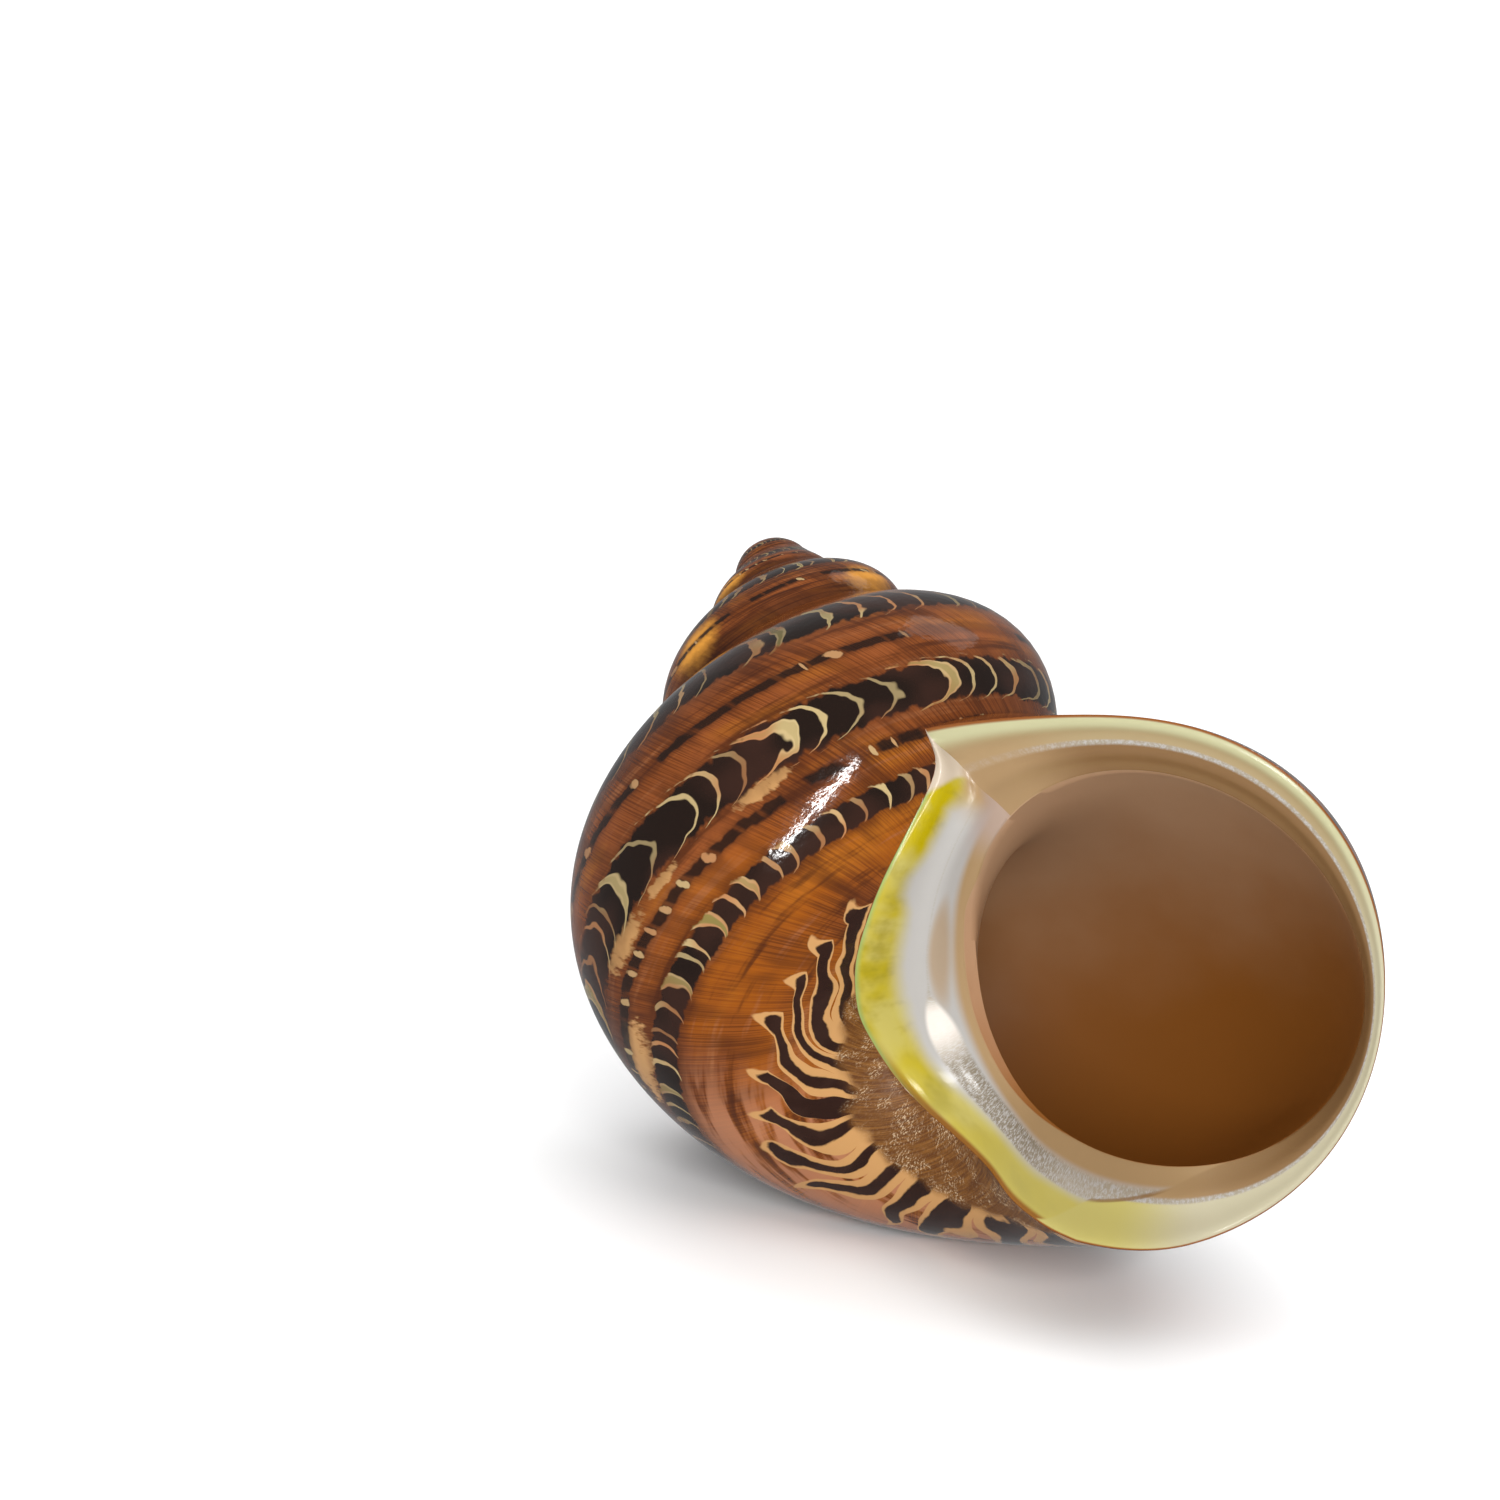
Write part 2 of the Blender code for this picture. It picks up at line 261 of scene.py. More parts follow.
# two rows of different lengths: every step along either row, in order of place, is a triangle
def zipRows(row, other, rowPlaces, otherPlaces):
    places = np.concatenate([rowPlaces[1:], otherPlaces[1:]])
    onRow = np.concatenate([np.ones(len(row) - 1, int), np.zeros(len(other) - 1, int)])
    onRow = onRow[np.argsort(places, kind="stable")]
    i = np.cumsum(onRow) - onRow
    j = np.cumsum(1 - onRow) - (1 - onRow)
    third = np.where(onRow == 1, row[np.minimum(i + 1, len(row) - 1)],
                     other[np.minimum(j + 1, len(other) - 1)])
    skin["triangles"].append(np.stack([row[i], other[j], third], -1))


# the spire: rows from suture to suture, each landing on the row one turn on. Its first turns are
# worn, point = point + (straight - point) * worn, and the tip is wider by 1 + widen * beyond ** 2.
def laySpire():
    rows = shellGrain["rowsPerTurn"]
    turns = shellForm["cornerTurn"] - 1 - shellForm["spireTurns"]
    turns = turns + np.arange(round(shellForm["spireTurns"] * rows)) / rows
    upper, lower = sutureAngles(turns)[0], sutureAngles(turns + 1)[1]
    across = np.linspace(0, 1, shellGrain["spireColumns"] + 1)
    angles = upper[:, None] + (lower - upper)[:, None] * across
    points = wallPoint(turns[:, None], angles)
    straight = points[:, :1] + (points[:, -1:] - points[:, :1]) * across[:, None]
    worn = np.clip((shellForm["wornTurn"] - turns) / shellForm["wornOver"], 0, 1)[:, None, None]
    points = points + (straight - points) * worn * shellForm["wornShare"]
    beyond = np.clip(1 - (shellForm["tipHeight"] - points[..., 2]) / shellForm["domeDepth"], 0, 1)
    points = points * (1 + shellForm["domeWiden"] * beyond[..., None] ** 2 * (1, 1, 0))
    points[rows:, 0] = points[:-rows, -1]
    ids = layPatch(points, (turns[:, None], angles), 0.0)
    coverGrid(ids)

    tip = points[0, :1] * (0, 0, 1) + (0, 0, shellForm["capHeight"])
    rim = np.concatenate([ids[:rows, 0], ids[0, ::-1]])
    centre = layPatch(tip[None], (turns[0], angles[0, 0]), 0.0)[0, 0]
    skin["triangles"].append(np.stack([rim[:-1], np.full(len(rim) - 1, centre), rim[1:]], -1))
    return points, ids


# the last whorl: rows that lean like the lip, from the suture to the pad's edge
def layWhorl(spirePoints, spireIds):
    rows = shellGrain["rowsPerTurn"]
    turns = shellForm["cornerTurn"] - 1 + np.arange(rows + 1) / rows
    upper = sutureAngles(turns)[0]
    edgeTurn, edgeAngle = padEdge(np.linspace(0, 1, rows + 1))
    across = np.linspace(0, 1, shellGrain["whorlColumns"] + 1)
    lip = lipTurn(upper[-1] + (edgeAngle[-1] - upper[-1]) * across)
    lean = (lip - lip[0]) / (lip[-1] - lip[0])
    turnGrid = turns[:, None] + (edgeTurn - turns)[:, None] * lean
    angleGrid = upper[:, None] + (edgeAngle - upper)[:, None] * across
    points = wallPoint(turnGrid, angleGrid)
    points[:-1, 0] = spirePoints[-rows:, -1]
    points[-1, 0] = points[0, -1]
    ids = layPatch(points, (turnGrid, angleGrid), 0.0)
    coverGrid(ids)
    zipRows(spireIds[-1], ids[0], np.linspace(0, 1, shellGrain["spireColumns"] + 1), across)
    return points


# angles around the mouth's centre, as seen from in front of the lip's plane
def mouthAngles(points, centre):
    up = np.cross(lipNormal, (1, 0, 0))
    up = up / np.linalg.norm(up)
    side = np.cross(up, lipNormal)
    return np.unwrap(np.arctan2((points - centre) @ up, (points - centre) @ side))


# the hollow's rim: the tube where it meets the plane that lies a bevel behind the lip's
def tubeStart(angle):
    return tubePoint(turnAtLip(tubePoint, angle, shellForm["lipBevel"]), angle)


# height of the margin = sum of height * e ** -((share - place) / width) ** 2, times
# 1 - e ** -(distance from an end / its width) for each end, so that it is 0 at both
def marginHeight(share):
    height = 0
    for tall, place, wide in mouthRelief["rolls"]:
        height = height + tall * np.exp(-((share - place) / wide) ** 2)
    outer, inner = mouthRelief["endWidths"]
    return height * (1 - np.exp(-share / outer)) * (1 - np.exp(-(1 - share) / inner))


# the mouth's margin: straight lines from the lip and the pad's edge in to the tube, but along the
# lip's normal they go as share ** steepness, plus the margin's height
def layMouth(whorl):
    outside = np.concatenate([whorl[-1], whorl[-2::-1, -1]])
    fine = np.linspace(0, fullTurn, shellGrain["mouthSamples"] + 1)
    centre = tubeStart(fine[:-1]).mean(0)
    fineAngles = mouthAngles(tubeStart(fine), centre)
    sense = np.sign(fineAngles[-1] - fineAngles[0])
    passed = (mouthAngles(outside, centre) - fineAngles[0]) * sense % fullTurn
    places = np.interp(passed, (fineAngles - fineAngles[0]) * sense, fine)
    inside = tubeStart(places)
    inside[-1] = inside[0]

    width = np.linalg.norm(outside - inside, axis=1)
    raised = np.clip(width / mouthRelief["fullWidth"], mouthRelief["least"], 1)
    share = np.linspace(0, 1, shellGrain["mouthRings"] + 1)[:, None]
    way = inside - outside
    sink = (way @ lipNormal)[:, None] * lipNormal
    narrow, broad = mouthRelief["narrowWidth"], mouthRelief["broadWidth"]
    narrowness = 1 - np.clip((width - narrow) / (broad - narrow), 0, 1)
    eased = share ** (1 + mouthRelief["extraSteepness"] * narrowness)
    points = (outside + (way - sink) * share[..., None] + sink * eased[..., None]
              + (marginHeight(share) * raised)[..., None] * lipNormal)
    points[0], points[-1] = outside, inside
    points[:, -1] = points[:, 0]
    around = np.linspace(0, 1, len(outside))
    ids = layPatch(points, (around, share), share)
    coverGrid(ids)
    return ids[-1], places


# the tube: leaning ellipses swept back from the mouth, the first ones slanted like the lip's plane,
# size = square root of (1 - ending ** 2) at the rounded end
def layTube(mouthIds, mouthPlaces):
    perTurn = shellGrain["tubeRingsPerTurn"]
    count = round(shellForm["tubeTurns"] * perTurn)
    sense = np.sign(np.median(np.diff(np.unwrap(mouthPlaces))))
    places = np.linspace(0, fullTurn, shellGrain["tubeSides"], endpoint=False)
    reached = (places - mouthPlaces[0]) * sense % fullTurn
    order = np.argsort(reached)
    places, reached = places[order], reached[order]

    first = turnAtLip(tubePoint, places, shellForm["lipBevel"])
    back = (np.arange(1, count) / perTurn)[:, None]
    left = np.clip(1 - back / shellForm["tubeFadeTurns"], 0, 1)
    slant = left ** 2 * (3 - 2 * left)
    ending = (back - shellForm["tubeTurns"]) / shellForm["tubeEndTurns"] + 1
    size = np.sqrt(1 - np.clip(ending, 0, 1) ** 2)
    points = tubePoint(first.mean() - back + (first - first.mean()) * slant, places, size)
    points = np.concatenate([points, points[:, :1]], 1)
    depth = 1 + back / shellForm["tubeTurns"]
    ids = layPatch(points, (np.linspace(0, 1, len(places) + 1), depth), depth)
    coverGrid(ids)

    passed = (mouthPlaces - mouthPlaces[0]) * sense % fullTurn
    passed[-1] = fullTurn
    passed = np.maximum.accumulate(passed)
    zipRows(mouthIds, ids[0], passed, np.append(reached, reached[0] + fullTurn))

    end = tubePoint(np.array([first.mean() - shellForm["tubeTurns"]]), np.zeros(1), 0.0)
    pole = layPatch(end[None], (0.0, 2.0), 2.0)[0, 0]
    ring = ids[-1]
    skin["triangles"].append(np.stack([ring[:-1], np.full(len(ring) - 1, pole), ring[1:]], -1))


# welds the patches where their points are the same, leaves out faces that this makes flat, and
# makes the mesh
def weldShell(name):
    points = laidDown(np.concatenate(skin["points"]))
    growth = np.concatenate(skin["growth"])
    welded, number = np.unique(points, axis=0, return_inverse=True)
    number = number.reshape(-1)
    zone = np.zeros(len(welded), np.float32)
    zone[number] = np.concatenate(skin["zone"])
    faces, corners = [], []
    for kind in ("quads", "triangles"):
        rows = np.concatenate(skin[kind])
        steps = np.diff(np.sort(number[rows], axis=1), axis=1)
        rows = rows[(steps > 0).all(axis=1)]
        faces = faces + number[rows].tolist()
        corners.append(rows.reshape(-1))

    mesh = bpy.data.meshes.new(name)
    mesh.from_pydata(welded.tolist(), [], faces)
    layer = mesh.uv_layers.new(name="growth")
    layer.data.foreach_set("uv", growth[np.concatenate(corners)].astype(np.float32).reshape(-1))
    mesh.attributes.new("zone", "FLOAT", "POINT").data.foreach_set("value", zone)

    form = bmesh.new()
    form.from_mesh(mesh)
    bmesh.ops.recalc_face_normals(form, faces=form.faces[:])
    form.to_mesh(mesh)
    form.free()
    mesh.shade_smooth()
    mesh.set_sharp_from_angle(angle=shellGrain["sharpAngle"])
    return mesh


spirePoints, spireIds = laySpire()
whorlPoints = layWhorl(spirePoints, spireIds)
layTube(*layMouth(whorlPoints))
shellMesh = weldShell("turbanShellSurface")
shell = bpy.data.objects.new("turbanShellSurface", shellMesh)
bpy.context.scene.collection.objects.link(shell)
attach(shell, "root")
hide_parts("turban_shell")
print("shell surface:", len(shellMesh.polygons), "faces")


# a colour given as 0 to 255, made linear
def paint(red, green, blue):
    values = np.array([red, green, blue]) / 255
    linear = np.where(values <= 0.04045, values / 12.92, ((values + 0.055) / 1.055) ** 2.4)
    return tuple(float(v) for v in linear) + (1.0,)


class Wire:  # a socket that takes Python's operators, each of which adds a Math node
    def __init__(self, finish, socket):
        self.finish, self.socket = finish, socket

    def __add__(self, other):
        return self.finish.math("ADD", self, other)

    def __radd__(self, other):
        return self.finish.math("ADD", other, self)

    def __sub__(self, other):
        return self.finish.math("SUBTRACT", self, other)

    def __rsub__(self, other):
        return self.finish.math("SUBTRACT", other, self)

    def __mul__(self, other):
        return self.finish.math("MULTIPLY", self, other)

    def __rmul__(self, other):
        return self.finish.math("MULTIPLY", other, self)

    def __truediv__(self, other):
        return self.finish.math("DIVIDE", self, other)

    def __rtruediv__(self, other):
        return self.finish.math("DIVIDE", other, self)

    def __pow__(self, other):
        return self.finish.math("POWER", self, other)


class Finish:  # a material and the nodes in it
    def __init__(self, name, constants):
        self.material = bpy.data.materials.new(name)
        self.material.use_nodes = True
        self.tree = self.material.node_tree
        self.surface = self.tree.nodes["Principled BSDF"]
        for socket, value in constants.items():
            self.surface.inputs[socket].default_value = value

    # a link where the value is a wire, else the socket's own number or colour
    def feed(self, socket, value):
        if isinstance(value, Wire):
            self.tree.links.new(value.socket, socket)
        else:
            socket.default_value = value

    # any node: its settings first, then the values or links of its sockets
    def add(self, kind, settings, sockets, output=0):
        node = self.tree.nodes.new("ShaderNode" + kind)
        for key, value in settings.items():
            setattr(node, key, value)
        for key, value in sockets.items():
            self.feed(node.inputs[key], value)
        return Wire(self, node.outputs[output])

    def math(self, operation, *values):
        return self.add("Math", {"operation": operation}, dict(enumerate(values)))

    # 0 below low, 1 above high, eased between; the other way round where low is above high
    def ease(self, value, low, high):
        sockets = {"Value": value, "From Min": low, "From Max": high}
        return self.add("MapRange", {"interpolation_type": "SMOOTHSTEP"}, sockets)

    # first at factor 0, second at 1
    def mix(self, factor, first, second):
        return self.add("Mix", {"data_type": "RGBA"}, {0: factor, 6: first, 7: second}, 2)

    # smooth noise around 0.5, about one bump for each whole step of x and y
    def noise(self, x, y, z, detail=1.0, roughness=0.5):
        place = self.add("CombineXYZ", {}, {0: x, 1: y, 2: z})
        sockets = {"Vector": place, "Scale": 1.0, "Detail": detail, "Roughness": roughness}
        return self.add("TexNoise", {"noise_dimensions": "3D"}, sockets)

    # one number from 0 to 1 for each whole cell, another for each seed
    def chance(self, cell, seed):
        place = self.add("CombineXYZ", {}, {0: cell, 1: seed})
        return self.add("TexWhiteNoise", {"noise_dimensions": "2D"}, {"Vector": place})


# The shell's paints
shellColours = {
    "mauve": paint(126, 68, 31),
    "rosy": paint(136, 82, 46),
    # pale pink for the painted reflection of the floor on the underside
    "paintedFloorReflection": paint(160, 108, 78),
    "brown": paint(108, 55, 18),
    "orange": paint(130, 68, 11),
    "amber": paint(146, 84, 20),
    "deep": paint(56, 25, 9),
    "shade": paint(48, 23, 14),
    "dark": paint(24, 14, 9),
    "chocolate": paint(42, 24, 17),
    "cream": paint(164, 144, 102),
    "tan": paint(152, 104, 66),
    "olive": paint(112, 102, 54),
    "gold": paint(196, 134, 50),
    "flame": paint(170, 128, 80),
    "blot": paint(36, 18, 11),
    "satin": paint(82, 45, 9),
    "satinLight": paint(118, 76, 27),
    "paintedGlint": paint(206, 184, 150),
    "rim": paint(120, 70, 30),
    "greenEdge": paint(120, 150, 92),
    "yellow": paint(158, 141, 4),
    "yellowPale": paint(164, 154, 90),
    "yellowDark": paint(122, 110, 12),
    "paleGreen": paint(164, 157, 132),
    "paleTop": paint(160, 157, 122),
    "pink": paint(172, 158, 140),
    "lilac": paint(150, 132, 124),
    # darker tan for the lip's groove and the notch's crease, partly painted shade
    "tanAndGrooveShade": paint(112, 84, 54),
    # near-white paint for the painted highlight on the pad's ridge
    "paintedRidgeHighlight": paint(216, 208, 200),
    "white": paint(154, 151, 147),
    "silver": paint(138, 128, 112),
    "slate": paint(98, 88, 74),
    "bevel": paint(144, 118, 84),
    "insideRose": paint(152, 120, 92),
    "insideBrown": paint(122, 72, 22),
}

# Ground. A pair is where a change begins and where it is complete, in turns for early and turned,
# and else as an angle around the section.
ground = {
    "olderFrom": -0.95,
    "rise": 0.13,
    "lineLean": 0.085,
    "fineLines": 760,
    "broadLines": 44,
    "orange": (-0.40, -0.72),
    "early": (0.45, 0.75),
    # where the painted shade along the early whorls' suture begins and is complete
    "seam": (-0.10, -0.15),
    "turnedFrom": (-0.53, -0.44),
    "turnedTo": (0.1, -0.2),
    "underside": (-0.74, -0.94),
}

# Rows of markings along the whorl: middle and half height as angles, spacing in turns, bend of
# the pale lines' ends in turns, lean, half width of a thin line and of a bold one in spacings, and
# how many turns before the last whorl the row begins
crescentRows = {
    "shoulder": {"middle": 0.44, "half": 0.17, "spacing": 0.026, "bend": 0.007, "lean": 0.005,
                 "thin": 0.055, "bold": 0.24, "wander": 1.3, "until": 9.0, "seed": 3.0},
    "waist": {"middle": -0.255, "half": 0.125, "spacing": 0.0245, "bend": 0.013, "lean": 0.002,
              "thin": 0.07, "bold": 0.34, "wander": 1.4, "until": 0.2, "seed": 11.0},
    "lower": {"middle": -0.735, "half": 0.068, "spacing": 0.0175, "bend": 0.003, "lean": 0.002,
              "thin": 0.11, "bold": 0.20, "wander": 1.0, "until": 0.2, "seed": 23.0},
}

# Thin rows: dark dashes with pale ticks, the share left bare and the share with a tick
dashRows = {
    "upper": {"middle": 0.062, "half": 0.030, "spacing": 0.024, "bare": 0.3, "ticks": 0.34, "seed": 31.0},
    "middle": {"middle": -0.50, "half": 0.032, "spacing": 0.019, "bare": 0.2, "ticks": 0.5, "seed": 37.0},
}

# Pale patches in the ground: turn, angle, half length in turns, half height
palePatches = (
    (-0.545, -0.395, 0.026, 0.072),
    (-0.472, -0.585, 0.032, 0.088),
    (-0.672, -0.405, 0.020, 0.040),
    (-0.592, -0.410, 0.014, 0.030),
)

# Golden patches on the whorl before
goldPatches = ((-1.60, 0.12, 0.035, 0.24), (-1.85, 0.04, 0.040, 0.22), (-2.60, 0.2, 0.05, 0.2))

# Flames along the base and the satin ground under them, as angles; the lean begins at leanAngle
# and, along the whorl, between the two leanTurns
flames = {
    "top": -1.10,
    "bottom": -1.50,
    "spacing": 0.048,
    "lean": 0.39,
    "leanAngle": -1.2,
    "leanTurns": (-0.30, -0.58),
    "archDepth": 1.2,
    "seed": 41.0,
}
satin = {"fibres": 260, "grains": 420, "glints": 34, "edgeWave": 0.22}

# Pale and dark bands across the mouth's margin, as shares of its width from outside in
marginBands = {"rim": 0.05, "lipSeam": 0.60, "padYellow": 0.37, "ridge": 0.60, "bevel": 0.76}

# Where they change along the margin: the lip from 0 to the notch, then the pad to 1
marginPlaces = {
    "upperLip": (0.17, 0.11),
    "slimLip": (0.275, 0.205),
    "nearNotch": (0.250, 0.285),
    "notch": 0.29,
    "notchLean": 0.105,
    "base": (0.47, 0.36),
    "dullRidge": 0.40,
    "ridgeHighlightPlace": 0.49,
    "ridgeEnd": 0.56,
    "ridgeFade": 0.10,
    "tanSpot": 0.61,
    "gap": 0.735,
    "padShift": 0.86,
    "smear": (0.78, 0.88),
    "blur": (0.84, 0.93),
    "wedge": (0.84, 0.95),
    "fading": (0.90, 0.97),
    "corner": (0.045, 0.01),
}

# The hollow's two colours, across its x and z in metres
hollow = {"middle": (0.012, 0.020), "reach": (0.022, 0.014), "brown": (-1.4, 0.6)}

# Roughness of each area, and heights of the fine relief in millimetres
gloss = {"wall": 0.10, "satin": 0.3, "margin": 0.16, "marginGrain": 0.1, "hollow": 0.55}
bumps = {
    "fineLines": 0.002,
    "broadLines": 0.02,
    "dents": 0.03,
    "chips": 0.018,
    "satin": 0.015,
    "margin": 0.006,
}


# where a point is on the shell: turn, angle, zone, and what follows from them
def shellPlace(finish):
    growth = finish.add("UVMap", {"uv_map": "growth"}, {})
    turn = finish.add("SeparateXYZ", {}, {0: growth}, 0)
    angle = finish.add("SeparateXYZ", {}, {0: growth}, 1)
    older = finish.math("MAXIMUM", ground["olderFrom"] - turn, 0.0)
    return {
        "turn": turn,
        "angle": angle,
        "zone": finish.add("Attribute", {"attribute_name": "zone"}, {}, "Fac"),
        "older": older,  # turns before the last whorl's visible start
        "level": angle - older * ground["rise"],  # the same along one row of markings
        "line": turn - angle * ground["lineLean"],  # the same along one line of growth
    }


# ground: mauve brown, orange lower down, crossed by fine lines of growth; a patch is covered
# where sideways ** 2 + upright ** 2 + a ragged noise is small
def groundColour(finish, place):
    turn, angle, level, line = (place[key] for key in ("turn", "angle", "level", "line"))
    fine = finish.noise(line * ground["fineLines"], angle * 1.5, 1.0, 1.0, 0.6)
    broad = finish.noise(line * ground["broadLines"], angle * 2.2, 2.0, 2.0)
    cloud = finish.noise(turn * 9, angle * 2.4, 3.0, 2.0)
    lower = finish.ease(level, *ground["orange"])
    colour = finish.mix(lower, shellColours["mauve"], shellColours["orange"])
    colour = finish.mix(finish.ease(cloud, 0.38, 0.66), colour, shellColours["brown"])
    warm = finish.noise(line * 12, angle * 4, 8.0, 2.0)
    colour = finish.mix(finish.ease(warm, 0.50, 0.70) * 0.7, colour, shellColours["amber"])
    streak = finish.noise(turn * 8, level * 11, 7.0, 3.0, 0.6)
    colour = finish.mix(finish.ease(streak, 0.46, 0.30) * 0.8, colour, shellColours["rosy"])
    colour = finish.mix(finish.ease(streak, 0.54, 0.68) * 0.75, colour, shellColours["deep"])
    colour = finish.mix(finish.ease(broad, 0.48, 0.70) * 0.55, colour, shellColours["deep"])
    hatch = finish.ease(fine, 0.40, 0.62) * finish.ease(cloud, 0.25, 0.6) * 0.62
    colour = finish.mix(hatch, colour, shellColours["deep"])
    early = finish.ease(place["older"], *ground["early"])
    spirals = finish.noise(turn * 9, level * 55, 4.0, 2.0)
    colour = finish.mix(finish.ease(spirals, 0.52, 0.62) * early * 0.75, colour, shellColours["shade"])
    # painted shade: the early whorls are painted darker along the suture below them
    seam = finish.ease(level, *ground["seam"]) * early
    colour = finish.mix(seam * 0.4, colour, shellColours["dark"])
    turned = finish.ease(turn, *ground["turnedFrom"]) * finish.ease(turn, *ground["turnedTo"])
    low = finish.ease(angle, *ground["underside"])
    colour = finish.mix(turned * (1 - low) * 0.75, colour, shellColours["shade"])
    # painted reflection: a pale pink painted on the underside where the white floor would reflect
    floorReflectionShare = turned * low * finish.ease(streak, 0.60, 0.48) * 0.8
    colour = finish.mix(floorReflectionShare, colour, shellColours["paintedFloorReflection"])

    ragged = (finish.noise(line * 120, angle * 7, 6.0, 3.0, 0.7) - 0.5) * 4.4
    patches = [(patch, "flame", 0.0) for patch in palePatches]
    patches = patches + [(patch, "gold", 1.0) for patch in goldPatches]
    for (patchTurn, patchHeight, halfTurn, halfHeight), paintName, soft in patches:
        sideways = (turn - patchTurn) / halfTurn
        upright = (angle - patchHeight) / halfHeight
        nearness = sideways * sideways + upright * upright + ragged * (1 - soft * 0.65)
        covered = finish.ease(nearness, 1.2 + soft * 0.5, 0.4 - soft * 0.5)
        colour = finish.mix(covered, colour, shellColours[paintName])
    return colour, fine, broad


# a dark band crossed by pale lines: place = (turn - bend * (h ** 2 + 0.5 * h ** 8)) / spacing
# plus a slow wander, with h the height in the band; its whole part is the cell
def crescents(finish, colour, place, row):
    turn, level = place["turn"], place["level"]
    height = (level - row["middle"]) / row["half"]
    square = height * height
    bow = (square + square * square * square * 0.5) * row["bend"] + height * row["lean"]
    wander = (finish.noise(turn * 13, row["seed"], 0.0, 2.0) - 0.5) * (2 * row["wander"])
    shake = (finish.noise(turn * 95, level * 9, row["seed"] + 4) - 0.5) * 0.45
    along = (turn - bow) / row["spacing"] + wander + shake
    cell = finish.math("FLOOR", along)
    away = finish.math("ABSOLUTE", along - cell - finish.chance(cell, row["seed"]) * 0.4 - 0.3)
    bold = finish.chance(cell, row["seed"] + 1) ** 3.0
    taper = finish.math("MAXIMUM", height * 0.42 + 0.72, 0.22)
    thick = (bold * row["bold"] + row["thin"]) * taper
    line = finish.ease(away, thick + 0.035, thick - 0.01)
    inner = finish.ease(away, thick * 0.75, thick * 0.45) * bold

    ragged = (finish.noise(turn * 130, level * 12, row["seed"] + 2, 2.0) - 0.5) * 0.8
    reach = finish.math("ABSOLUTE", height) + ragged
    fade = finish.noise(turn * 17, level * 3, row["seed"] + 5)
    dark = finish.mix(finish.ease(fade, 0.42, 0.62), shellColours["dark"], shellColours["chocolate"])
    pale = finish.mix(finish.ease(fade, 0.62, 0.42), shellColours["tan"], shellColours["cream"])
    pale = finish.mix(inner, pale, shellColours["olive"])
    colour = finish.mix(finish.ease(reach, 1.9, 0.9) * 0.45, colour, shellColours["deep"])
    present = finish.ease(place["older"], row["until"] + 0.15, row["until"])
    faint = finish.chance(cell, row["seed"] + 8) * 0.5 + 0.5
    colour = finish.mix(finish.ease(reach, 1.04, 0.82) * present, colour, dark)
    return finish.mix(finish.ease(reach, 1.12, 0.92) * line * faint * present, colour, pale)


# a thin dark row in cells, some bare, some with a pale tick at one end
def dashes(finish, colour, place, row):
    turn, level = place["turn"], place["level"]
    sway = (finish.noise(turn * 22, row["seed"], 1.0, 2.0) - 0.5) * 1.2
    height = (level - row["middle"]) / row["half"] + sway
    wander = (finish.noise(turn * 18, row["seed"], 0.0, 2.0) - 0.5) * 2.4
    along = turn / row["spacing"] + wander - height * 0.12
    cell = finish.math("FLOOR", along)
    part = along - cell
    reach = finish.math("ABSOLUTE", height) + (finish.noise(turn * 150, level * 12, row["seed"] + 2) - 0.5)
    filled = finish.ease(finish.chance(cell, row["seed"] + 1), row["bare"], row["bare"] + 0.02)
    ends = finish.ease(finish.math("ABSOLUTE", part - 0.5), 0.52, 0.36)
    colour = finish.mix(finish.ease(reach, 2.0, 0.8) * 0.4, colour, shellColours["deep"])
    dark = finish.ease(reach, 1.05, 0.6) * filled * (ends * 0.6 + 0.3)
    colour = finish.mix(dark, colour, shellColours["dark"])
    ticked = finish.ease(finish.chance(cell, row["seed"]), row["ticks"], row["ticks"] - 0.02)
    across = (part - 0.2) / (finish.chance(cell, row["seed"] + 3) * 0.16 + 0.06)
    crumbly = (finish.noise(turn * 260, level * 24, row["seed"] + 7, 2.0) - 0.5) * 1.8
    dot = finish.ease(across * across + reach * reach * 0.9 + crumbly, 1.1, 0.5) * ticked
    tick = finish.mix(finish.chance(cell, row["seed"] + 6), shellColours["tan"], shellColours["cream"])
    return finish.mix(dot * 0.9, colour, tick)


